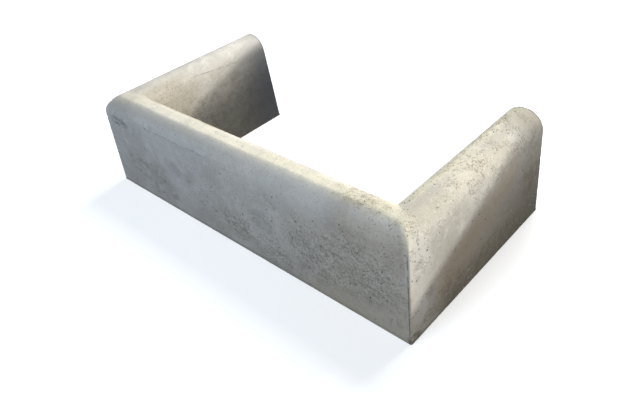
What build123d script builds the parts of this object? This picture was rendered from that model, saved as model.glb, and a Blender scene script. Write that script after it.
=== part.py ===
"""U-shaped concrete gully surround, cast in one piece.

Three walls of one section stand on the ground: a long front wall and an arm at each end of it.
Every wall has an upright outer face, a round nosing on top and a battered inner face, so that the
core of the mould draws out. The nosing turns both corners on a mitre: a ridge outside, a valley
inside. The arms end square, where they butt against the wall of a building.

Millimetres. +X runs along the front wall, +Y from the front wall to the free ends of the arms,
+Z up. The origin is on the ground, under the middle of the outer box.
"""

import os
from math import asin, atan2, degrees, hypot

from build123d import *

# Driving dimensions
overall_length = 560.0  # along the front wall, between the outer faces of the arms
overall_depth = 290.0  # from the outer face of the front wall to the free ends
overall_height = 150.0  # ground to the crown of the nosing
nosing_radius = 27.0  # round top of every wall
base_thickness = 70.0  # wall at the ground, outer face to inner face
corner_chamfer = 2.5  # flat that takes the sharp arris off the two upright outer corners
end_arris_radius = 2.0  # rounding round the square ends, clear of the ground

# Derived sizes
half_length = overall_length / 2
half_depth = overall_depth / 2
springing_height = overall_height - nosing_radius  # where the nosing leaves the outer face
foot_offset = base_thickness - nosing_radius  # inner foot, measured across from the nosing's axis
batter_angle = degrees(
    atan2(foot_offset, springing_height) - asin(nosing_radius / hypot(foot_offset, springing_height))
)

# The section is drawn on the right arm's free end: x inwards from the outer face, y up
right_end = Plane(origin=(half_length, half_depth, 0), x_dir=(-1, 0, 0), z_dir=(0, 1, 0))

with BuildPart() as gully_surround:
    with BuildSketch(right_end):
        with BuildLine():
            outer_face = Line((0, 0), (0, springing_height))
            nosing = JernArc(outer_face @ 1, outer_face % 1, nosing_radius, batter_angle - 180)
            inner_face = Line(nosing @ 1, (base_thickness, 0))
            Line(inner_face @ 1, outer_face @ 0)
        make_face()

    # Right arm, front wall and left arm in one sweep round the outer foot, mitred at both corners
    with BuildLine() as outer_foot:
        Polyline(
            (half_length, half_depth),
            (half_length, -half_depth),
            (-half_length, -half_depth),
            (-half_length, half_depth),
        )
    sweep(path=outer_foot.line, transition=Transition.RIGHT)

    # Upright outer corners, cut to a plan with its two front corners off
    with BuildSketch():
        Rectangle(overall_length, overall_depth)
        chamfer(vertices().group_by(Axis.Y)[0], corner_chamfer)
    extrude(amount=overall_height, mode=Mode.INTERSECT)

    # Outlines of the two free ends, without their ground edges
    end_faces = gully_surround.faces().group_by(Axis.Y)[-1]
    fillet(end_faces.edges().filter_by(Axis.X, reverse=True), end_arris_radius)

gully_surround.part.label = "gully_surround"

os.makedirs("parts", exist_ok=True)
export_step(gully_surround.part, "parts/gully_surround.step")
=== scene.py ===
"""Looks of the concrete gully surround: worn faces and arrises, air pits, sand and weather stains, and
painted light and shade.

Metres, in the casting's own frame: +X along the front wall, +Y from the front wall to the free ends
of the arms, +Z up, with the origin on the ground under the middle of the outer box.
"""

from functools import reduce
from math import asin, atan2, cos, hypot, pi, radians, sin
from operator import mul

import bpy
from mathutils import Matrix, Vector


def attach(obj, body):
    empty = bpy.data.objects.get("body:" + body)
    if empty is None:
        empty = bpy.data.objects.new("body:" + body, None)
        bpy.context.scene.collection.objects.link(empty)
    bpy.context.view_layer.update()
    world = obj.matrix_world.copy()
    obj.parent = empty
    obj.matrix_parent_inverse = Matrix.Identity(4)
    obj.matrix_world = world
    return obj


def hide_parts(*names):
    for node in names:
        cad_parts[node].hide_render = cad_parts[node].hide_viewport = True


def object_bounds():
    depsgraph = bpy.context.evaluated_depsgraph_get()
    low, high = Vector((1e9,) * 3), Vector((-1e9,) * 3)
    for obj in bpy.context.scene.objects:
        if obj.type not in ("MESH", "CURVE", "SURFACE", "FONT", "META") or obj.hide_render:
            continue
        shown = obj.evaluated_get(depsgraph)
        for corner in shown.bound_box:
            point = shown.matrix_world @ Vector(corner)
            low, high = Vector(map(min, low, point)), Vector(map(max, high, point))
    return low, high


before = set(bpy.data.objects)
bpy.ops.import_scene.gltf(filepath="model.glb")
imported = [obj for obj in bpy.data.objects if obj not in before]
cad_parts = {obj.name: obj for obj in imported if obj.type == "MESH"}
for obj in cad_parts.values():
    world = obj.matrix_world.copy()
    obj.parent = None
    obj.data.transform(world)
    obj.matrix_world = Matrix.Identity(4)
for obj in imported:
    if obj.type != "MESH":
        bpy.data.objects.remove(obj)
cad_low, cad_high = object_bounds()

MM = 0.001

# The casting: overall sizes from the frame, and the section that every wall has
HALF_LENGTH = cad_high.x
HALF_DEPTH = cad_high.y
HEIGHT = cad_high.z
NOSING_RADIUS = 27 * MM
BASE_THICKNESS = 70 * MM
CORNER_RADIUS = 2.5 * MM
END_RADIUS = 2 * MM

SPRINGING = HEIGHT - NOSING_RADIUS
FOOT_OFFSET = BASE_THICKNESS - NOSING_RADIUS
BATTER = atan2(FOOT_OFFSET, SPRINGING) - asin(NOSING_RADIUS / hypot(FOOT_OFFSET, SPRINGING))
INNER_FACE = (SPRINGING + NOSING_RADIUS * sin(BATTER)) / cos(BATTER)
INNER_START = SPRINGING + NOSING_RADIUS * (pi - BATTER)
CROWN_BACK = SPRINGING + NOSING_RADIUS * radians(112)

# Faces by their place: where a mask of the face starts, and where it is full
FRONT_FACE = (-HALF_DEPTH + 8 * MM, -HALF_DEPTH + 3 * MM)
FRONT_AND_NOSING = (-HALF_DEPTH + 27 * MM, -HALF_DEPTH + 12 * MM)
RIGHT_FACE = (HALF_LENGTH - 8 * MM, HALF_LENGTH - 3 * MM)
LEFT_FACE = (-HALF_LENGTH + 8 * MM, -HALF_LENGTH + 3 * MM)

# Patches that shape the faces: middle along the wall and up it, half length and half height
FOOT_CHIP = [(-0.137, 0.003, 0.014, 0.011)]
PITS_BY_CORNER = [(-0.122, 0.116, 0.040, 0.050)]
PITS_MID_ARM = [(-0.010, 0.085, 0.060, 0.045)]

# Facets of the sheet that is folded into the walls, stretch by stretch
ALONG_HALF = {"front": 100, "corner": 5, "arm": 104, "end_arris": 4, "end_face": 12}
AROUND = {"outer_face": 46, "nosing": 32, "inner_face": 46, "underside": 24}
WELD = 0.05 * MM
PIT_WELD = 0.03 * MM
PIT_SEED = 7
PIT_SIZE_SEED = 11
SHARP_EDGE = radians(38)

# Turns round the nosing, in radians, between which the ridge over a corner is softened, with soft ends
RIDGE_START = (0.1, 0.8)
RIDGE_END = (2.0, 1.4)


def srgb(red, green, blue):
    """A colour as a screen shows it, 0 to 255, as the linear values that a shader takes."""
    shares = [value / 255 for value in (red, green, blue)]
    return tuple(s / 12.92 if s <= 0.04045 else ((s + 0.055) / 1.055) ** 2.4 for s in shares) + (1.0,)


class Wire:
    """The output of a node. A formula on wires adds Math nodes to their tree."""

    def __init__(self, graph, socket):
        self.graph = graph
        self.socket = socket

    def math(self, operation, *values):
        return self.graph.node("ShaderNodeMath", {"operation": operation}, dict(enumerate(values)))

    def __add__(self, other):
        return self.math("ADD", self, other)

    def __radd__(self, other):
        return self.math("ADD", other, self)

    def __sub__(self, other):
        return self.math("SUBTRACT", self, other)

    def __rsub__(self, other):
        return self.math("SUBTRACT", other, self)

    def __mul__(self, other):
        return self.math("MULTIPLY", self, other)

    def __rmul__(self, other):
        return self.math("MULTIPLY", other, self)

    def __truediv__(self, other):
        return self.math("DIVIDE", self, other)

    def __pow__(self, other):
        return self.math("POWER", self, other)

    def __abs__(self):
        return self.math("ABSOLUTE", self)

    def sine(self):
        return self.math("SINE", self)

    def cosine(self):
        return self.math("COSINE", self)

    def sign(self):
        return self.math("SIGN", self)

    def at_least(self, other):
        return self.math("MAXIMUM", self, other)

    def at_most(self, other):
        return self.math("MINIMUM", self, other)

    def share(self, start):
        """How far this value has gone from start to start + 1, held between 0 and 1."""
        return (self - start).at_least(0).at_most(1)

    def ramp(self, low, high):
        """0 at low, 1 at high, with a smooth rise between them. High may be the smaller one."""
        limits = {"Value": self, "From Min": low, "From Max": high}
        return self.graph.node("ShaderNodeMapRange", {"interpolation_type": "SMOOTHSTEP"}, limits)


class Graph:
    """A node tree that grows by calls."""

    def __init__(self, tree):
        self.tree = tree

    def node(self, kind, settings=None, inputs=None, output=0):
        """Adds a node, sets it up, fills its sockets with values or wires, and returns one output."""
        made = self.tree.nodes.new(kind)
        for name, value in (settings or {}).items():
            setattr(made, name, value)
        for key, value in (inputs or {}).items():
            socket = made.inputs[key] if isinstance(key, int) else self.named(made.inputs, key)
            if isinstance(value, Wire):
                self.tree.links.new(value.socket, socket)
            else:
                socket.default_value = value
        if not made.outputs:
            return None
        found = made.outputs[output] if isinstance(output, int) else self.named(made.outputs, output)
        return Wire(self, found)

    @staticmethod
    def named(sockets, name):
        return next(socket for socket in sockets if socket.name == name and socket.enabled)

    def output_of(self, wire, name):
        """Another output of the node that a wire comes from."""
        return Wire(self, self.named(wire.socket.node.outputs, name))

    def axes(self, vector):
        """The x, y and z of a vector."""
        first = self.node("ShaderNodeSeparateXYZ", None, {"Vector": vector}, "X")
        return first, self.output_of(first, "Y"), self.output_of(first, "Z")

    def vector(self, x, y, z):
        return self.node("ShaderNodeCombineXYZ", None, {"X": x, "Y": y, "Z": z})

    def noise(self, vector, size, detail, roughness, distortion=0.0):
        """Cloudy noise about 0.5, with clouds about size across."""
        inputs = {"Vector": vector, "Scale": 1 / size, "Detail": detail, "Roughness": roughness}
        return self.node("ShaderNodeTexNoise", None, {**inputs, "Distortion": distortion}, "Fac")

    def mark(self, geometry, name, value, kind="FLOAT"):
        """Stores a value on the points of a mesh, for the finish to read."""
        inputs = {"Geometry": geometry, "Name": name, "Value": value}
        return self.node("GeometryNodeStoreNamedAttribute", {"data_type": kind}, inputs)

    def mix(self, low, high, share):
        """A colour between two, low at share 0 and high at share 1."""
        inputs = {"Factor": share, "A": low, "B": high}
        return self.node("ShaderNodeMix", {"data_type": "RGBA"}, inputs, "Result")


def stations(counts):
    """Places along a run of stretches, each stretch one unit long and cut into its count of facets."""
    places = [n + i / count for n, count in enumerate(counts) for i in range(count)]
    return places + [float(len(counts))]


def flat_sheet():
    """The flat sheet: x runs along the walls from end to end, y round their section from the outer foot.

    It has no underside beyond the end arrises, because the end faces have none.
    """
    half = stations(ALONG_HALF.values())
    along = [-place for place in reversed(half[1:])] + half
    around = stations(AROUND.values())
    end_face_start = len(ALONG_HALF) - 1
    underside_start = len(AROUND) - 1
    rows = len(around)
    faces = []
    for i in range(len(along) - 1):
        in_end_face = min(abs(along[i]), abs(along[i + 1])) >= end_face_start
        for j in range(rows - 1):
            if in_end_face and around[j] >= underside_start:
                continue
            corner = i * rows + j
            faces.append((corner, corner + rows, corner + rows + 1, corner + 1))
    mesh = bpy.data.meshes.new("cast_body")
    mesh.from_pydata([(place, turn, 0) for place in along for turn in around], [], faces)
    return mesh


def fold(graph, sheet, size):
    """Folds the flat sheet into the three mitred walls, and welds its edges."""
    place, turn, _ = graph.axes(graph.node("GeometryNodeInputPosition"))
    run = abs(place)
    front = run.at_most(1)
    corner_turn = run.share(1) * (pi / 2)
    arm = run.share(2)
    end_turn = run.share(3) * (pi / 2)
    end_face = run.share(4)
    outer = turn.at_most(1)
    nose_turn = turn.share(1) * (pi - size["Batter"])
    inner = turn.share(2)
    under = turn.share(3)

    # Section: offset in from the outer foot, and height, both drawn in round the free ends
    inset = size["End radius"] * (1 - end_turn.cosine())
    lean = size["Batter"].sine()
    upright = size["Batter"].cosine()
    radius = size["Nosing radius"] - inset
    under_width = size["Base thickness"] - inset * (1 + upright)
    offset = size["Nosing radius"] - radius * nose_turn.cosine() + inner * size["Inner face"] * lean
    offset = offset - under * under_width
    height = outer * size["Springing"] + radius * nose_turn.sine() - inner * size["Inner face"] * upright

    # End faces: closed along the middle of the wall
    spine = outer - inner
    half_base = size["Base thickness"] / 2
    spine_offset = half_base + (size["Nosing radius"] - half_base) * spine
    offset = offset + (spine_offset - offset) * end_face
    height = (height + (spine * size["Springing"] - height) * end_face).at_least(0)

    # Plan: half the front wall, the corner and an arm. The ridge over the corner is the roundest.
    ridge = nose_turn.ramp(*RIDGE_START) * nose_turn.ramp(*RIDGE_END)
    radius = size["Corner radius"] + size["Ridge softening"] * ridge
    front_run = size["Half length"] - offset - radius
    arm_run = 2 * size["Half depth"] - offset - radius - size["End radius"]
    x = place.sign() * (front_run * front + radius * corner_turn.sine())
    y = offset - size["Half depth"] + radius * (1 - corner_turn.cosine())
    y = y + arm_run * arm + size["End radius"] * end_turn.sine()

    # Nearness to the arrises, 1 on them: upright corners, end outlines and feet
    reach = size["Arris reach"]
    from_corner = (1 - front) * front_run + arm * arm_run
    corner_arris = from_corner.ramp(reach, 0) * turn.ramp(1.6, 1.1)
    end_arris = ((1 - arm) * arm_run + end_face * half_base).ramp(reach, 0)
    foot_arris = height.ramp(reach * 0.6, 0) * 0.4
    arris = corner_arris.at_least(end_arris).at_least(foot_arris)
    along = place.sign() * (front * front_run + arm * arm_run)
    around = outer * size["Springing"] + nose_turn * size["Nosing radius"] + inner * size["Inner face"]
    walls = graph.mark(sheet, "arris", arris)
    walls = graph.mark(walls, "lay", graph.vector(along, around, 0), "FLOAT_VECTOR")
    folded = {"Geometry": walls, "Position": graph.vector(x, y, height)}
    walls = graph.node("GeometryNodeSetPosition", None, folded)
    return graph.node("GeometryNodeMergeByDistance", None, {"Geometry": walls, "Distance": WELD})


class Place:
    """A point of the casting, with masks of where it may lie: 1 inside such a place, 0 outside it."""

    def __init__(self, graph, position):
        self.graph = graph
        self.position = position
        self.x, self.y, self.z = graph.axes(position)

    def zone(self, **limits):
        """A zone with soft ends. Each axis has two limits, where the zone starts and where it is full,
        or four, which also say where it stops being full and where it ends.
        """
        shares = []
        for axis, (start, full, *far) in limits.items():
            value = getattr(self, axis)
            shares.append(value.ramp(start, full))
            if far:
                last_full, end = far
                shares.append(value.ramp(end, last_full))
        return reduce(mul, shares)

    @staticmethod
    def ovals(across, up, patches):
        """Oval patches, each of them 1 in its middle and 0 at its edge."""
        found = []
        for middle, height, half_width, half_height in patches:
            distance = ((across - middle) / half_width) ** 2 + ((up - height) / half_height) ** 2
            found.append(distance.ramp(1.0, 0.1))
        return reduce(Wire.at_least, found)

    def on_front(self, patches):
        return self.ovals(self.x, self.z, patches)

    def on_side(self, patches):
        return self.ovals(self.y, self.z, patches)

    def on_top(self, patches):
        return self.ovals(self.x, self.y, patches)

    def worn_strip(self):
        """The inner side of the right arm's crown, where the cement skin has worn off the sand."""
        return self.zone(x=(0.212, 0.230, 0.240, 0.258), y=(-0.118, -0.100), z=(0.112, 0.136))

    def noise(self, size, detail=4.0, roughness=0.6, stretch=(1, 1, 1), distortion=0.0):
        """Noise on the casting, with clouds about size across, drawn out by stretch along x, y and z."""
        vector = self.position
        if stretch != (1, 1, 1):
            scale = tuple(1 / share for share in stretch)
            vector = self.graph.node("ShaderNodeMapping", None, {"Vector": vector, "Scale": scale})
        return self.graph.noise(vector, size, detail, roughness, distortion)


def wear(graph, walls, size):
    """Strikes off the crown, lets the faces wander and chips the arrises.

    Every move goes inwards, and the underside stays flat.
    """
    place = Place(graph, graph.node("GeometryNodeInputPosition"))
    height = place.z

    # The crown is struck off most on the front wall, and less by its right corner
    on_front = place.zone(y=(-0.070, -0.095)) * (1 - 0.55 * place.zone(x=(0.04, 0.14)))
    uneven = 0.7 + 0.3 * place.noise(75 * MM, 1.0, 0.5).ramp(0.35, 0.65)
    cut = size["Crown cut"] * uneven * (0.25 + 0.75 * on_front)
    soft_edge = 0.3 * MM
    crown = height.math("SMOOTH_MIN", height, HEIGHT - cut, soft_edge)
    drop = graph.vector(0, 0, crown - height)
    walls = graph.node("GeometryNodeSetPosition", None, {"Geometry": walls, "Offset": drop})

    swell = place.noise(95 * MM, 1.0, 0.5) * size["Swell"]
    dimple = place.noise(16 * MM, 2.0, 0.5) * size["Dimple"]
    waver = place.noise(28 * MM, 1.0, 0.5) * place.zone(z=(0.112, 0.132)) * size["Crown waver"]
    above_ground = place.zone(z=(0, 1 * MM))
    depth = (swell + dimple + waver) * above_ground

    arris = graph.node("GeometryNodeInputNamedAttribute", {"data_type": "FLOAT"}, {"Name": "arris"})
    chips = place.noise(9 * MM, 3.0, 0.6).ramp(0.5, 0.72) * place.noise(60 * MM, 2.0, 0.5).ramp(0.4, 0.62)
    depth = depth + arris * chips * size["Chip"]

    # The chip in the right arm's foot stays clear of the underside
    at_foot = place.zone(x=(HALF_LENGTH - 6 * MM, HALF_LENGTH - 3 * MM), z=(0.5 * MM, 4 * MM))
    broken = at_foot * place.on_side(FOOT_CHIP).ramp(0.1, 0.6)
    broken = broken * place.noise(10 * MM, 3.0, 0.6).ramp(0.36, 0.6)
    depth = depth + broken * size["Foot chip"]

    inwards = {"Vector": graph.node("GeometryNodeInputNormal"), "Scale": depth * -1}
    move = graph.node("ShaderNodeVectorMath", {"operation": "SCALE"}, inwards)
    return graph.node("GeometryNodeSetPosition", None, {"Geometry": walls, "Offset": move})


def pit_density(graph):
    """Where air was trapped: by the right corner, on the front's right half and under the worn skin."""
    place = Place(graph, graph.node("GeometryNodeInputPosition"))
    on_arm = place.zone(x=(HALF_LENGTH - 18 * MM, HALF_LENGTH - 8 * MM))
    on_front = place.zone(y=FRONT_FACE)
    front_right = on_front * place.zone(x=(-0.02, 0.16))

    # Shares of the densest pitting: a few pits all over, and more in these places
    density = 0.012 + 0.03 * on_front.at_least(on_arm) + 0.5 * on_arm * place.on_side(PITS_BY_CORNER)
    density = density + 0.10 * on_arm * place.on_side(PITS_MID_ARM) + 0.08 * front_right
    density = density + 0.9 * place.worn_strip()
    return density * place.zone(z=(0, 4 * MM))


def cut_air_pits(graph, walls, size):
    """Cuts small round pits into the faces, and marks their insides."""
    spread = {
        "Mesh": walls,
        "Distance Min": size["Pit spacing"],
        "Density Max": size["Pit density"],
        "Density Factor": pit_density(graph),
        "Seed": PIT_SEED,
    }
    points = graph.node("GeometryNodeDistributePointsOnFaces", {"distribute_method": "POISSON"}, spread)
    rotation = graph.output_of(points, "Rotation")
    chance = graph.node("FunctionNodeRandomValue", {"data_type": "FLOAT"}, {"Seed": PIT_SIZE_SEED}, "Value")
    pit_size = size["Small pit"] + (size["Large pit"] - size["Small pit"]) * chance ** 4
    bubble = graph.node("GeometryNodeMeshIcoSphere", None, {"Radius": 0.5, "Subdivisions": 2})
    placed = {"Points": points, "Instance": bubble, "Rotation": rotation}
    scale = graph.vector(pit_size, pit_size, pit_size * 0.9)
    pits = graph.node("GeometryNodeInstanceOnPoints", None, {**placed, "Scale": scale})
    pits = graph.node("GeometryNodeRealizeInstances", None, {"Geometry": pits})
    pits = graph.mark(pits, "pit", 1.0)
    cut = {"Mesh 1": walls, "Mesh 2": pits}
    pitted = graph.node("GeometryNodeMeshBoolean", {"operation": "DIFFERENCE", "solver": "MANIFOLD"}, cut)
    return graph.node("GeometryNodeMergeByDistance", None, {"Geometry": pitted, "Distance": PIT_WELD})


def casting_tree(sizes):
    """The tree that makes the casting out of the flat sheet, with its sizes as named inputs."""
    tree = bpy.data.node_groups.new("casting", "GeometryNodeTree")
    graph = Graph(tree)
    tree.interface.new_socket("Geometry", in_out="INPUT", socket_type="NodeSocketGeometry")
    for name, value in sizes.items():
        tree.interface.new_socket(name, in_out="INPUT", socket_type="NodeSocketFloat").default_value = value
    tree.interface.new_socket("Finish", in_out="INPUT", socket_type="NodeSocketMaterial")
    tree.interface.new_socket("Geometry", in_out="OUTPUT", socket_type="NodeSocketGeometry")
    sheet = graph.node("NodeGroupInput", output="Geometry")
    size = {name: graph.output_of(sheet, name) for name in sizes}
    walls = wear(graph, fold(graph, sheet, size), size)
    walls = cut_air_pits(graph, walls, size)
    walls = graph.node("GeometryNodeRealizeInstances", None, {"Geometry": walls})
    finished = {"Geometry": walls, "Material": graph.output_of(sheet, "Finish")}
    walls = graph.node("GeometryNodeSetMaterial", None, finished)
    graph.node("NodeGroupOutput", None, {"Geometry": walls})
    return tree


def cast_body(finish):
    """The whole casting as one closed mesh, which stands for the solid."""
    sizes = {
        "Half length": HALF_LENGTH,
        "Half depth": HALF_DEPTH,
        "Springing": SPRINGING,
        "Nosing radius": NOSING_RADIUS,
        "Batter": BATTER,
        "Inner face": INNER_FACE,
        "Base thickness": BASE_THICKNESS,
        "Corner radius": CORNER_RADIUS,
        "End radius": END_RADIUS,
        "Ridge softening": 4 * MM,
        "Crown cut": 1.1 * MM,
        "Arris reach": 5 * MM,
        "Swell": 1.2 * MM,
        "Dimple": 0.25 * MM,
        "Crown waver": 0.6 * MM,
        "Chip": 1.6 * MM,
        "Foot chip": 1.6 * MM,
        "Pit spacing": 2.2 * MM,
        "Pit density": 20000.0,
        "Small pit": 1.1 * MM,
        "Large pit": 2.6 * MM,
    }
    body = bpy.data.objects.new("cast_concrete_body", flat_sheet())
    bpy.context.scene.collection.objects.link(body)
    tree = casting_tree(sizes)
    modifier = body.modifiers.new("casting", "NODES")
    modifier.node_group = tree
    chosen = {**sizes, "Finish": finish}
    for item in tree.interface.items_tree:
        if item.in_out == "INPUT" and item.name in chosen:
            modifier[item.identifier] = chosen[item.name]
    evaluated = body.evaluated_get(bpy.context.evaluated_depsgraph_get())
    mesh = bpy.data.meshes.new_from_object(evaluated)
    body.modifiers.remove(modifier)
    body.data = mesh
    mesh.shade_smooth()
    mesh.set_sharp_from_angle(angle=SHARP_EDGE)
    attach(body, "root")
    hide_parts("gully_surround")


# Colours of the concrete, and of the painted light and shade on it
SKIN_DULL = srgb(196, 191, 181)
SKIN_PALE = srgb(216, 211, 202)
SKIN_BRIGHT = srgb(230, 226, 218)
MOTTLE = srgb(172, 166, 153)
# Laitance, also used as painted highlight
LAITANCE_AND_HIGHLIGHT = srgb(237, 230, 205)
CREAM = srgb(222, 212, 184)
# Painted shade, bluish
SHADED_SKIN = srgb(194, 200, 211)
SAND_DARK = srgb(150, 141, 120)
SAND_PALE = srgb(232, 225, 202)
# Warm dust, also used as a painted penumbra
WARM_DUST_AND_PENUMBRA = srgb(198, 174, 138)
# Soil colours, also used as painted shade near the ground and inside the walls
SOIL_AND_SHADE = srgb(146, 130, 108)
WET_SOIL_AND_SHADE = srgb(104, 98, 86)
DAMP_AND_SHADE = srgb(122, 118, 112)
# Painted shade, bluish
BLUE_SHADE = srgb(100, 106, 116)
GREEN_DAMP = srgb(90, 96, 90)
GRIME = srgb(112, 104, 86)
OCHRE = srgb(155, 139, 107)
SPECK = srgb(88, 80, 66)
OLIVE_SPECK = srgb(136, 122, 92)
SCUFF = srgb(104, 99, 90)
MARK = srgb(104, 106, 108)
# Painted shade in the air pits, with dirt
PIT_SHADE = srgb(74, 70, 62)

# Patches of dirt, wear and painted light and shade: middle along the wall and up it, half length and half
# height
FRONT_GRIME = [
    (0.205, 0.072, 0.095, 0.058),
    (0.150, 0.050, 0.075, 0.042),
    (0.076, 0.026, 0.055, 0.028),
    (0.008, 0.038, 0.050, 0.030),
]
FRONT_BLOTCHES = [
    (0.215, 0.066, 0.062, 0.040),
    (0.140, 0.040, 0.040, 0.024),
    (0.058, 0.066, 0.032, 0.022),
    (0.004, 0.040, 0.036, 0.022),
    (-0.108, 0.078, 0.046, 0.028),
    (-0.155, 0.052, 0.048, 0.028),
    (-0.218, 0.064, 0.030, 0.020),
]
CORNER_HIGHLIGHT = [
    (-0.128, 0.108, 0.026, 0.040),
    (-0.126, 0.044, 0.020, 0.030),
]
RIGHT_END_HIGHLIGHT = [(0.088, 0.136, 0.034, 0.018)]
LEFT_EDGE_SHADE = [(0.070, 0.106, 0.018, 0.011)]
FRONT_TOP_HIGHLIGHT = [
    (0.100, 0.132, 0.085, 0.028),
    (0.228, 0.137, 0.048, 0.016),
]
LEFT_SCUFFS = [
    (-0.217, 0.048, 0.040, 0.024),
    (-0.165, 0.026, 0.050, 0.022),
]
FRONT_SCUFFS = [
    (-0.020, 0.060, 0.090, 0.040),
    (0.120, 0.072, 0.120, 0.050),
]
ARM_SPECKLE = [
    (0.105, 0.140, 0.055, 0.035),
    (0.010, 0.134, 0.110, 0.036),
    (-0.122, 0.118, 0.030, 0.042),
    (-0.100, 0.030, 0.060, 0.045),
]
ARM_GRIME = [
    (0.118, 0.070, 0.040, 0.035),
    (0.030, 0.018, 0.100, 0.025),
    (-0.126, 0.094, 0.016, 0.018),
    (-0.055, 0.014, 0.036, 0.034),
]
FRONT_RUNS = [(0.250, 0.038, 0.032, 0.034)]
LEFT_OCHRE = [(-0.062, 0.114, 0.070, 0.050)]
SMUDGE = [(-0.243, 0.117, 0.026, 0.012)]

# Patches seen from above: middle along x and y, half length and half width
DULL_CROWN = [(0.260, -0.090, 0.020, 0.045)]
CROWN_OCHRE = [(0.200, -0.116, 0.048, 0.024)]


def material_graph(name):
    material = bpy.data.materials.new(name)
    material.use_nodes = True
    material.node_tree.nodes.clear()
    return material, Graph(material.node_tree)


class Spot(Place):
    """A point of the finish, with masks of the faces that it may be on.

    In the finish a number before a mask is the strength of that layer, and the two numbers of a ramp
    on a noise are where the noise starts to show and where it shows in full.
    """

    def __init__(self, graph):
        super().__init__(graph, graph.node("ShaderNodeTexCoord", output="Object"))
        self.along, self.around, _ = graph.axes(self.marked("lay", "Vector"))
        self.past_corner = self.x - HALF_LENGTH + self.y + HALF_DEPTH
        self.front = self.zone(y=FRONT_FACE)
        self.front_half = self.zone(y=FRONT_AND_NOSING)
        self.right_side = self.zone(x=RIGHT_FACE)
        self.left_side = self.zone(x=LEFT_FACE)
        self.right_arm = self.zone(x=(0.205, 0.225))
        facing_back = graph.axes(graph.output_of(self.position, "Normal"))[1]
        at_end = facing_back.ramp(0.35, 0.75) * self.zone(y=(HALF_DEPTH - 6 * MM, HALF_DEPTH - 4 * MM))
        before_end = 1 - at_end
        self.inside = before_end * self.zone(around=(INNER_START, INNER_START + 10 * MM))
        on_left = self.zone(x=(-0.245, -0.235, -0.205, -0.195), y=(-0.105, -0.090))
        self.left_inside = before_end * on_left

    def marked(self, name, output="Fac"):
        """A value that was stored on the mesh."""
        return self.graph.node("ShaderNodeAttribute", {"attribute_name": name}, None, output)

    def cracks(self, size):
        """Distance from a bent net of lines with meshes about size across: 0 on the lines."""
        waves = {"Vector": self.position, "Scale": 1 / size}
        bend = self.graph.node("ShaderNodeTexNoise", None, waves, "Color")
        moved = {0: bend, 1: (size, size, size), 2: self.position}
        bent = self.graph.node("ShaderNodeVectorMath", {"operation": "MULTIPLY_ADD"}, moved)
        net = {"Vector": bent, "Scale": 1 / size}
        return self.graph.node("ShaderNodeTexVoronoi", {"feature": "DISTANCE_TO_EDGE"}, net, "Distance")


def cement_skin(spot):
    """The skin's colour and relief: clouds, blotches, mottles, trowel streaks along the walls, and sand,
    with painted highlights and painted shade on the crowns, the corner and by the free ends.
    """
    graph = spot.graph
    clouds = spot.noise(85 * MM, 5.0, 0.55)
    blotches = spot.noise(18 * MM, 5.0, 0.62, distortion=0.3)
    mottles = spot.noise(6 * MM, 4.0, 0.7)
    lengthways = graph.vector(spot.along * 0.12, spot.around, 0)
    streaks = graph.noise(lengthways, 5 * MM, 4.0, 0.6)
    sand = spot.noise(1.8 * MM, 2.0, 0.7)
    color = graph.mix(SKIN_DULL, SKIN_PALE, clouds.ramp(0.36, 0.62))
    color = graph.mix(color, SKIN_BRIGHT, 0.55 * blotches.ramp(0.48, 0.68))
    color = graph.mix(color, MOTTLE, 0.4 * mottles.ramp(0.5, 0.7))
    color = graph.mix(color, SKIN_DULL, 0.5 * streaks.ramp(0.5, 0.75))
    # Painted shade: a bluish tint on the upper nosing of the front's left half, where it turns from the
    # light
    sky_shade = spot.front_half * spot.zone(x=(0.02, -0.12), z=(0.146, 0.136))
    color = graph.mix(color, SHADED_SKIN, 0.17 * sky_shade)
    color = crowns(spot, color, clouds, blotches)
    # Painted highlights on the right corner, by the free ends and on top of the front
    color = painted_highlights(spot, color)
    color = graph.mix(color, SAND_DARK, 0.45 * sand.ramp(0.55, 0.72))
    relief = 0.12 * sand + 0.10 * mottles + 0.10 * blotches + 0.10 * streaks
    return color, relief


def crowns(spot, color, clouds, blotches):
    """Laitance on the front and right crowns, partly a painted highlight; painted shade along the front
    shoulder; a painted highlight on the left arm's crown; and a creamier right arm.
    """
    graph = spot.graph
    # Laitance on the struck crowns, made paler where the light falls on them: partly a painted highlight
    front = spot.zone(y=(-0.105, -0.116), z=(0.143, 0.1485)) * (0.65 + 0.35 * spot.zone(x=(-0.12, 0.10)))
    right = spot.right_arm * spot.zone(x=(0.256, 0.244), y=(-0.100, -0.085), z=(0.110, 0.130))
    color = graph.mix(color, LAITANCE_AND_HIGHLIGHT, front.at_least(right) * (0.3 + 0.5 * blotches.ramp(0.3, 0.55)))
    # Painted shade: a duller band along the front shoulder, where it turns away from the light
    wander = 10 * MM * (spot.noise(16 * MM, 4.0, 0.6, (2, 1, 1)) - 0.5)
    shoulder = (spot.y + wander).ramp(-0.121, -0.126) * spot.zone(x=(-0.255, -0.215), z=(0.136, 0.142))
    shoulder = shoulder * spot.front_half * (0.3 + 0.45 * spot.zone(x=(0.0, -0.12)))
    color = graph.mix(color, SKIN_DULL, shoulder)
    # Painted highlight on the left arm's crown
    left = spot.zone(x=(-0.205, -0.225), y=(0.0, 0.06), z=(0.128, 0.140))
    color = graph.mix(color, SKIN_BRIGHT, 0.2 * left)
    cream = (0.15 + 0.3 * clouds.ramp(0.4, 0.6)).at_least(0.45 * spot.zone(y=(0.07, 0.11)))
    return graph.mix(color, CREAM, cream * spot.right_arm * spot.zone(z=(0.130, 0.145)))


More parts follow.
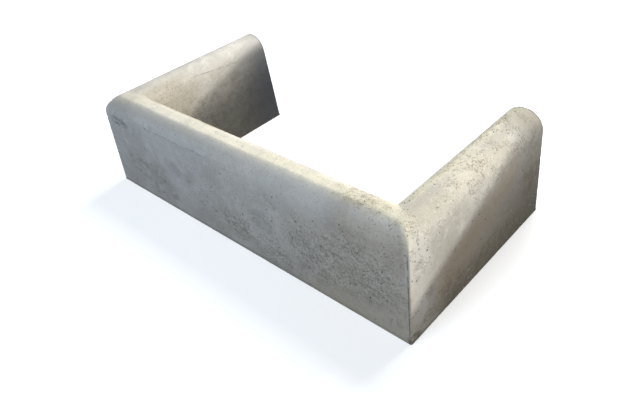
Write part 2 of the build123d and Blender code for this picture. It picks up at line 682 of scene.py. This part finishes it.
def painted_highlights(spot, color):
    """Painted highlights: on the right corner's ridge and low down beside the corner, by the free ends along
    the edge of the light, and on top of the front.
    """
    graph = spot.graph
    ridge = abs(spot.past_corner).ramp(9 * MM, 2 * MM) * spot.zone(x=(0.240, 0.255), z=(0.105, 0.125))
    edge = spot.zone(past_corner=(0, 1.5 * MM, 4 * MM, 14 * MM), z=(0.015, 0.045)) * spot.right_side
    color = graph.mix(color, LAITANCE_AND_HIGHLIGHT, (0.85 * ridge).at_least(0.5 * edge))
    right_end = spot.right_side.at_least(spot.zone(x=(0.255, 0.268))) * spot.on_side(RIGHT_END_HIGHLIGHT)
    above_streak = spot.z - 0.1015 - 0.315 * spot.y
    left_end = spot.left_inside * abs(above_streak).ramp(8 * MM, 2 * MM) * spot.zone(y=(0.02, 0.08))
    front_top = spot.front_half * spot.on_front(FRONT_TOP_HIGHLIGHT)
    pale = (0.8 * right_end).at_least(0.9 * left_end).at_least(0.5 * front_top)
    return graph.mix(color, SKIN_BRIGHT, pale)


def soil_and_low_shade(spot, color):
    """Soil and damp from the ground, with painted shade: darker towards the ground up the arms away from the
    corners, and lower on the front wall.
    """
    graph = spot.graph
    ragged = spot.noise(30 * MM, 7.0, 0.65)
    height = spot.z + 0.05 * (ragged - 0.5)
    sides = spot.right_side.at_least(spot.left_side)
    along_arms = sides * (0.04 + 0.96 * spot.zone(y=(-0.12, -0.05)))
    elsewhere = (1 - sides.at_least(spot.inside)) * (1 - 0.6 * spot.zone(x=(0.20, 0.26)))
    # Darker and browner towards the ground: soil, and painted shade near the ground
    soaked_and_shaded = height.ramp(0.12, 0.025) * along_arms + 0.4 * height.ramp(0.07, 0.0) * elsewhere
    color = graph.mix(color, SOIL_AND_SHADE, soaked_and_shaded * (0.35 + 0.5 * ragged))
    color = graph.mix(color, WET_SOIL_AND_SHADE, 0.5 * height.ramp(0.05, 0.0) * along_arms)
    color = back_of_crown(spot, color, ragged)
    color = inside_damp_and_shade(spot, color, ragged, height)
    color = right_arm_penumbra_and_damp(spot, color, ragged)
    # A darker line at the foot: soil, and painted shade where the walls meet the ground
    foot = (spot.z + 5 * MM * (ragged - 0.5)).ramp(6 * MM, 0.5 * MM)
    return graph.mix(color, WET_SOIL_AND_SHADE, 0.5 * foot)


def back_of_crown(spot, color, ragged):
    """The dull back of the front wall's crown, with an ochre rim on its left half."""
    graph = spot.graph
    on_wall = spot.zone(y=(-0.080, -0.095))
    behind = on_wall * spot.zone(around=(CROWN_BACK, INNER_START))
    color = graph.mix(color, MOTTLE, behind * (0.45 + 0.5 * ragged))
    wander = spot.x + 0.08 * (ragged - 0.5)
    rim = on_wall * wander.ramp(-0.22, -0.14) * wander.ramp(0.02, -0.06)
    rim = rim * spot.around.ramp(CROWN_BACK - 1 * MM, CROWN_BACK + 4 * MM)
    rim = rim * spot.around.ramp(INNER_START + 8 * MM, CROWN_BACK)
    return graph.mix(color, OCHRE, rim * (0.2 + 0.5 * ragged))


def inside_damp_and_shade(spot, color, ragged, height):
    """Damp and painted shade on the inner faces, darkest by the left arm's free end, with a painted shade
    spot at the edge of the light and bluish painted shade by that free end.
    """
    graph = spot.graph
    # Darker inside the walls: damp, and painted shade in the hollow of the U
    damp_and_shade = (0.7 * spot.inside).at_least(spot.left_inside * (0.35 + 0.65 * spot.zone(y=(-0.03, 0.13))))
    color = graph.mix(color, DAMP_AND_SHADE, damp_and_shade * height.ramp(0.17, 0.06) * (0.45 + 0.6 * ragged))
    color = graph.mix(color, WET_SOIL_AND_SHADE, 0.4 * damp_and_shade * height.ramp(0.10, 0.02))
    mottles = spot.noise(11 * MM, 5.0, 0.65).ramp(0.42, 0.62)
    color = graph.mix(color, WET_SOIL_AND_SHADE, 0.25 * spot.inside * height.ramp(0.115, 0.09) * mottles)
    # Painted shade: a dark spot at the edge of the light inside the left arm
    edge_shade_spot = spot.left_inside * spot.on_side(LEFT_EDGE_SHADE) * ragged.ramp(0.3, 0.6)
    color = graph.mix(color, DAMP_AND_SHADE, 0.4 * edge_shade_spot)
    # Painted shade: bluish by the left arm's free end
    blue_shade = spot.left_inside * spot.zone(y=(0.05, 0.14), z=(0.145, 0.120))
    return graph.mix(color, BLUE_SHADE, blue_shade * (0.5 + 0.4 * ragged))


def right_arm_penumbra_and_damp(spot, color, ragged):
    """A painted penumbra, a warmer and paler band just below the edge of the light along the right arm, and
    green damp low down by its free end.
    """
    graph = spot.graph
    # Painted penumbra: a warm band below the line where the edge of the light crosses the right arm
    above_shadow_edge = spot.z - 0.100 - 0.4 * spot.y + 0.03 * (spot.noise(10 * MM, 5.0, 0.65) - 0.5)
    painted_penumbra = above_shadow_edge.ramp(-0.055, -0.03) * above_shadow_edge.ramp(0.004, -0.012)
    painted_penumbra = painted_penumbra * spot.right_side * spot.zone(y=(-0.11, -0.08, 0.06, 0.10))
    color = graph.mix(color, WARM_DUST_AND_PENUMBRA, painted_penumbra * (0.15 + 0.4 * ragged))
    free_end = spot.right_side * spot.zone(y=(-0.02, 0.12), z=(0.11, 0.03))
    return graph.mix(color, GREEN_DAMP, free_end * (0.2 + 0.4 * ragged))


def front_grime(spot, dirty):
    """How much grime is on the front: blotches along its dirty patches, and a few upright runs."""
    wide = spot.noise(22 * MM, 5.0, 0.62, (1.8, 1, 1), 0.5).ramp(0.4, 0.62)
    small = spot.noise(8 * MM, 4.0, 0.7, (1.6, 1, 1), 0.4).ramp(0.44, 0.6)
    upright = spot.noise(4 * MM, 3.0, 0.6, (1, 1, 7)).ramp(0.54, 0.64)
    runs = spot.front * spot.on_front(FRONT_RUNS) * upright
    grime = dirty * (0.4 * wide + 0.4 * wide * small + 0.12 * small).at_most(1)
    return grime.at_least(0.6 * runs)


def front_dirt(spot, color, grime):
    """Warm dust on the right of the front, and grime in blotches."""
    graph = spot.graph
    low_down = spot.zone(z=(0.135, 0.095)).at_least(spot.zone(x=(0.16, 0.20), z=(0.146, 0.134)))
    dust = spot.front_half * low_down * spot.zone(x=(0.06, 0.20), past_corner=(1 * MM, -1 * MM))
    color = graph.mix(color, WARM_DUST_AND_PENUMBRA, 0.32 * dust)
    blotch = spot.front * spot.on_front(FRONT_BLOTCHES) * spot.noise(26 * MM, 5.0, 0.65).ramp(0.3, 0.6)
    return graph.mix(color, GRIME, (0.31 * blotch).at_least(0.7 * grime))


def scuffs(spot, color, dirty):
    """Fine bent scratches along the front, dark ones and pale ones."""
    graph = spot.graph
    worn = 0.35 + 0.65 * spot.noise(28 * MM).ramp(0.42, 0.6)
    scuffed = dirty.at_least(spot.front * spot.on_front(FRONT_SCUFFS) * worn)
    bent = spot.noise(8 * MM, 2.0, 0.55, (1.6, 1.6, 1), 0.7)
    broken = spot.noise(7 * MM, 3.0, 0.65)
    dark = abs(bent - 0.47).ramp(0.026, 0.006) * broken.ramp(0.47, 0.58) * scuffed
    pale = abs(bent - 0.54).ramp(0.028, 0.006) * broken.ramp(0.58, 0.44) * scuffed
    crazed = spot.cracks(6 * MM).ramp(0.10, 0.03) * broken.ramp(0.40, 0.52) * scuffed
    color = graph.mix(color, SKIN_BRIGHT, 0.75 * pale.at_least(0.7 * crazed))
    return graph.mix(color, SCUFF, 0.75 * dark)


def arm_dirt_and_shade(spot, color):
    """Grime on the right arm, and duller places on the crowns of both arms, one of them a painted shade band
    on the right arm's crown.
    """
    graph = spot.graph
    grime = spot.right_arm * spot.on_side(ARM_GRIME) * spot.noise(14 * MM, 5.0, 0.68).ramp(0.38, 0.6)
    color = graph.mix(color, GRIME, 0.4 * grime)
    by_corner = spot.zone(z=(0.128, 0.140)) * spot.on_top(DULL_CROWN)
    # Painted shade: a grey band on the right arm's crown beside the worn strip
    right = spot.zone(x=(0.250, 0.262), y=(-0.06, 0.0), z=(0.122, 0.135))
    left = spot.zone(x=(-0.212, -0.230), y=(0.0, -0.04), z=(0.132, 0.143))
    dull = by_corner.at_least(0.45 * right).at_least(0.7 * left)
    return graph.mix(color, MOTTLE, 0.55 * dull)


def grey_marks(spot):
    """A smudge and scuffs on the front's left, faint mould lines, and the rims of the free ends."""
    ragged = spot.noise(9 * MM, 5.0, 0.65)
    smudge = spot.on_front(SMUDGE) * spot.noise(6 * MM, 5.0, 0.7, (3.5, 1, 1)).ramp(0.4, 0.58)
    wander = 5 * MM * (spot.noise(70 * MM, 2.0) - 0.5)
    above_line = spot.z - 0.1265 + wander
    front_line = abs(above_line).ramp(1.6 * MM, 0.2 * MM) * ragged.ramp(0.38, 0.55)
    front_line = front_line * spot.zone(x=(-0.20, -0.17, -0.05, -0.01))
    above_line = spot.z - 0.135 + 0.1 * spot.y + 0.6 * wander
    left_line = abs(above_line).ramp(1.4 * MM, 0.2 * MM) * ragged.ramp(0.42, 0.55)
    left_line = left_line * spot.left_inside * spot.zone(y=(-0.03, 0.0, 0.07, 0.09))
    end_rim = spot.marked("arris") * spot.zone(y=(HALF_DEPTH - 5 * MM, HALF_DEPTH - 3 * MM))
    rough = spot.noise(9 * MM, 5.0, 0.72, (1.5, 1, 1), 0.8).ramp(0.48, 0.62)
    scuffed = spot.on_front(LEFT_SCUFFS) * rough
    on_front = spot.front * (0.7 * smudge).at_least(0.35 * front_line).at_least(0.45 * scuffed)
    return on_front.at_least(0.55 * left_line).at_least(0.55 * end_rim)


def corner_line(spot):
    """A broken brown line down the right corner."""
    ragged = spot.noise(9 * MM, 5.0, 0.65)
    line = abs(spot.past_corner + 1.6 * MM).ramp(1.2 * MM, 0.3 * MM)
    line = line * spot.zone(x=(0.270, 0.275), z=(0.135, 0.120))
    return line * (0.35 + 0.65 * ragged.ramp(0.4, 0.55))


def ochre_stain(spot):
    """Ochre on the crown beside the right corner, and inside the left arm."""
    crown = spot.zone(z=(0.134, 0.146)) * spot.on_top(CROWN_OCHRE)
    inside = spot.left_inside * spot.on_side(LEFT_OCHRE)
    broken = spot.noise(8 * MM, 5.0, 0.72).ramp(0.42, 0.62)
    return (crown * (0.2 + 0.8 * broken)).at_least(inside * (0.5 + 0.25 * broken))


def bare_sand(spot):
    """Where sand shows: the worn strip, and loose grains over the right arm's crown."""
    skin_left = spot.noise(7 * MM, 5.0, 0.72)
    ragged = spot.noise(22 * MM, 4.0, 0.65).ramp(0.36, 0.58)
    strip = spot.worn_strip() * (0.25 + 0.75 * ragged) * skin_left.ramp(0.36, 0.56)
    crown = spot.right_arm * spot.zone(z=(0.116, 0.135))
    return strip.at_least(0.6 * crown * skin_left.ramp(0.53, 0.64))


def dark_specks(spot, dirty, sand, stain):
    """Fine dark specks of dirt between the grains: a few all over, and more where it is dirty or bare."""
    clumps = spot.noise(15 * MM, 4.0, 0.65).ramp(0.42, 0.6)
    on_arm = spot.right_arm * spot.on_side(ARM_SPECKLE) * clumps
    density = (0.25 * dirty).at_least(on_arm).at_least(0.62 * sand).at_least(0.6 * stain)
    density = density.at_least(0.35 * spot.inside * spot.zone(z=(0.13, 0.10)))
    grain = spot.noise(2.2 * MM, 3.0, 0.75)
    return (grain + 0.13 * density).ramp(0.63, 0.70)


def grains_and_specks(spot, color, dirty):
    """Ochre stains, bare sand, pale grains and dark specks. Returns the colour, and the relief they give."""
    graph = spot.graph
    stain = ochre_stain(spot)
    color = graph.mix(color, OCHRE, 0.5 * stain)
    sand = bare_sand(spot)
    grains = spot.noise(2.4 * MM, 3.0, 0.8)
    sand_color = graph.mix(SAND_DARK, SAND_PALE, grains.ramp(0.34, 0.46))
    color = graph.mix(color, sand_color, 0.75 * sand)
    more_grains = dirty.at_least(0.6 * spot.right_side)
    pale = (spot.noise(3.2 * MM, 3.0, 0.7) + 0.05 * more_grains).ramp(0.64, 0.72)
    color = graph.mix(color, SKIN_BRIGHT, pale * (0.6 - 0.45 * spot.inside))
    specks = dark_specks(spot, dirty, sand, stain)
    speck_color = graph.mix(SPECK, OLIVE_SPECK, spot.right_arm)
    color = graph.mix(color, speck_color, specks * (0.6 + 0.2 * sand))
    return color, 0.6 * grains * sand - 0.3 * specks


def concrete():
    """Pale cast concrete with sand, soil and painted shade at its foot, grime, stains, specks and air pits,
    with painted highlights, painted shade and a painted penumbra.
    """
    material, graph = material_graph("weathered_concrete")
    spot = Spot(graph)
    color, relief = cement_skin(spot)
    color = soil_and_low_shade(spot, color)
    dirty = spot.front * spot.on_front(FRONT_GRIME)
    grime = front_grime(spot, dirty)
    color = front_dirt(spot, color, grime)
    # Painted light: paler skin on the right arm by the corner
    color = graph.mix(color, SKIN_BRIGHT, 0.85 * spot.right_side * spot.on_side(CORNER_HIGHLIGHT))
    color = scuffs(spot, color, dirty)
    color = arm_dirt_and_shade(spot, color)
    color, grain_relief = grains_and_specks(spot, color, dirty)
    color = graph.mix(color, MARK, grey_marks(spot))
    color = graph.mix(color, SPECK, 0.75 * corner_line(spot))
    chip = spot.right_side * spot.on_side(FOOT_CHIP) * spot.noise(8 * MM, 4.0, 0.7).ramp(0.36, 0.5)
    color = graph.mix(color, SPECK, 0.6 * chip)
    # Painted shade inside the air pits, with dirt
    color = graph.mix(color, PIT_SHADE, 0.85 * spot.marked("pit"))
    height = relief + grain_relief - 0.15 * grime
    bump = graph.node("ShaderNodeBump", None, {"Strength": 1.0, "Distance": 1 * MM, "Height": height})
    roughness = 0.8 + 0.15 * spot.noise(18 * MM)
    inputs = {"Base Color": color, "Roughness": roughness, "Normal": bump, "Specular IOR Level": 0.3}
    shader = graph.node("ShaderNodeBsdfPrincipled", None, inputs)
    graph.node("ShaderNodeOutputMaterial", None, {"Surface": shader})
    return material


# Colours of the floor and the background
BLACK = (0.0, 0.0, 0.0, 1.0)
WHITE = (1.0, 1.0, 1.0, 1.0)
SKY = (0.92, 0.97, 1.0, 1.0)
FLOOR_GREY = srgb(100, 103, 106)
FLOOR_WHITE = srgb(248, 248, 248)


def seen_ray(graph):
    """1 on rays that show the background: straight from the camera, by gloss or through glass."""
    camera_ray = graph.node("ShaderNodeLightPath", output="Is Camera Ray")
    glossy_ray = graph.output_of(camera_ray, "Is Glossy Ray")
    glass_ray = graph.output_of(camera_ray, "Is Transmission Ray")
    return (camera_ray + glossy_ray + glass_ray).at_most(1)


def pale_floor():
    """A floor that is seen as white with a soft shadow, and that bounces light as a grey one does.

    It glows more away from the casting, where the lamps no longer reach it.
    """
    material, graph = material_graph("pale_floor")
    seen = seen_ray(graph)
    color = graph.mix(FLOOR_GREY, FLOOR_WHITE, seen)
    shaded = graph.node("ShaderNodeBsdfDiffuse", None, {"Color": color})
    place = graph.node("ShaderNodeTexCoord", output="Object")
    distance = graph.node("ShaderNodeVectorMath", {"operation": "LENGTH"}, {"Vector": place}, "Value")
    glow = seen * (0.5 + 0.5 * distance.ramp(0.7, 2.2))
    glow_color = graph.mix(BLACK, WHITE, glow)
    bright = graph.node("ShaderNodeEmission", None, {"Color": glow_color, "Strength": 1.0})
    shader = graph.node("ShaderNodeAddShader", None, {0: shaded, 1: bright})
    graph.node("ShaderNodeOutputMaterial", None, {"Surface": shader})
    return material


def floor():
    half = 6.0
    mesh = bpy.data.meshes.new("floor")
    corners = [(-half, -half, 0), (half, -half, 0), (half, half, 0), (-half, half, 0)]
    mesh.from_pydata(corners, [], [(0, 1, 2, 3)])
    mesh.materials.append(pale_floor())
    plane = bpy.data.objects.new("floor", mesh)
    bpy.context.scene.collection.objects.link(plane)


def aim(thing, place, target):
    thing.location = place
    thing.rotation_euler = (Vector(target) - Vector(place)).to_track_quat("-Z", "Y").to_euler()


def lamp(name, kind, color, energy, place, target):
    data = bpy.data.lights.new(name, kind)
    data.color = color
    data.energy = energy
    thing = bpy.data.objects.new(name, data)
    bpy.context.scene.collection.objects.link(thing)
    aim(thing, place, target)
    return data


# Soft lamps: colour, watts, size, place and the point that each one is aimed at
SOFT_LAMPS = {
    "top_softbox": ((1.0, 0.99, 0.97), 31, 1.2, (0, 1.3, 1.7), (0, 0, 0)),
    "front_fill": ((0.655, 0.80, 1.0), 24.5, 1.2, (-0.5, -2.0, 1.4), (0, -0.1, 0.07)),
    "side_fill": ((1.0, 0.96, 0.92), 10, 0.6, (2.4, -0.5, 0.25), (0.28, 0, 0.07)),
}

# Key lamps behind on the right: watts, size, and the plane that each beam stays above, as its height over
# the origin and its rise along x and along y
KEY_LAMPS = {
    "back_key": (560, 9 * MM, 96 * MM, 0.02, 0.445),
    "low_back_key": (350, 28 * MM, 85 * MM, 0.044, 0.25),
}
KEY_COLOR = (0.99, 0.975, 0.915)
KEY_PLACE = (2.3, 3.6)
HALF_BEAM = radians(78)
BEAM_BLEND = 0.002


def key_lamp(name, watts, size, height, rise_x, rise_y):
    """A spot with a wide beam turned up, so that its lower edge crosses the arms on a slope."""
    x, y = KEY_PLACE
    place = Vector((x, y, height + rise_x * x + rise_y * y))
    along_edge = (Vector((0, 0, height)) - place).normalized()
    above_edge = Vector((-rise_x, -rise_y, 1)).normalized()
    target = place + along_edge * cos(HALF_BEAM) + above_edge * sin(HALF_BEAM)
    key = lamp(name, "SPOT", KEY_COLOR, watts, place, target)
    key.spot_size = 2 * HALF_BEAM
    key.spot_blend = BEAM_BLEND
    key.shadow_soft_size = size


def light_stage():
    world = bpy.data.worlds.new("studio")
    bpy.context.scene.world = world
    world.use_nodes = True
    graph = Graph(world.node_tree)
    world.node_tree.nodes.clear()
    soft = graph.node("ShaderNodeBackground", None, {"Color": SKY, "Strength": 0.2})
    white = graph.node("ShaderNodeBackground", None, {"Color": WHITE, "Strength": 1.0})
    mixed = graph.node("ShaderNodeMixShader", None, {0: seen_ray(graph), 1: soft, 2: white})
    graph.node("ShaderNodeOutputWorld", None, {"Surface": mixed})

    for name, (color, watts, size, place, target) in SOFT_LAMPS.items():
        lamp(name, "AREA", color, watts, place, target).size = size
    for name, values in KEY_LAMPS.items():
        key_lamp(name, *values)


def camera():
    """The photograph's angle: from the front right and above, a little turned and framed off centre."""
    azimuth = radians(46.76)
    elevation = radians(31.08)
    roll = radians(-7.38)
    target = Vector((-0.1084, 0.1044, 0))
    distance = 1.0708
    frame_width, frame_height = 640, 400
    focal_length = 633.6
    middle = (306, 140)
    back = Vector((sin(azimuth) * cos(elevation), -cos(azimuth) * cos(elevation), sin(elevation)))
    level = Vector((cos(azimuth), sin(azimuth), 0))
    upright = back.cross(level)
    right = cos(roll) * level + sin(roll) * upright
    up = cos(roll) * upright - sin(roll) * level
    data = bpy.data.cameras.new("camera")
    data.sensor_width = 36
    data.lens = focal_length * data.sensor_width / frame_width
    data.shift_x = (frame_width / 2 - middle[0]) / frame_width
    data.shift_y = (middle[1] - frame_height / 2) / frame_width
    thing = bpy.data.objects.new("camera", data)
    bpy.context.scene.collection.objects.link(thing)
    turned = Matrix((right, up, back)).transposed().to_4x4()
    thing.matrix_world = Matrix.Translation(target + back * distance) @ turned
    bpy.context.scene.camera = thing


cast_body(concrete())
floor()
light_stage()
camera()
bpy.context.scene.view_settings.view_transform = "Standard"
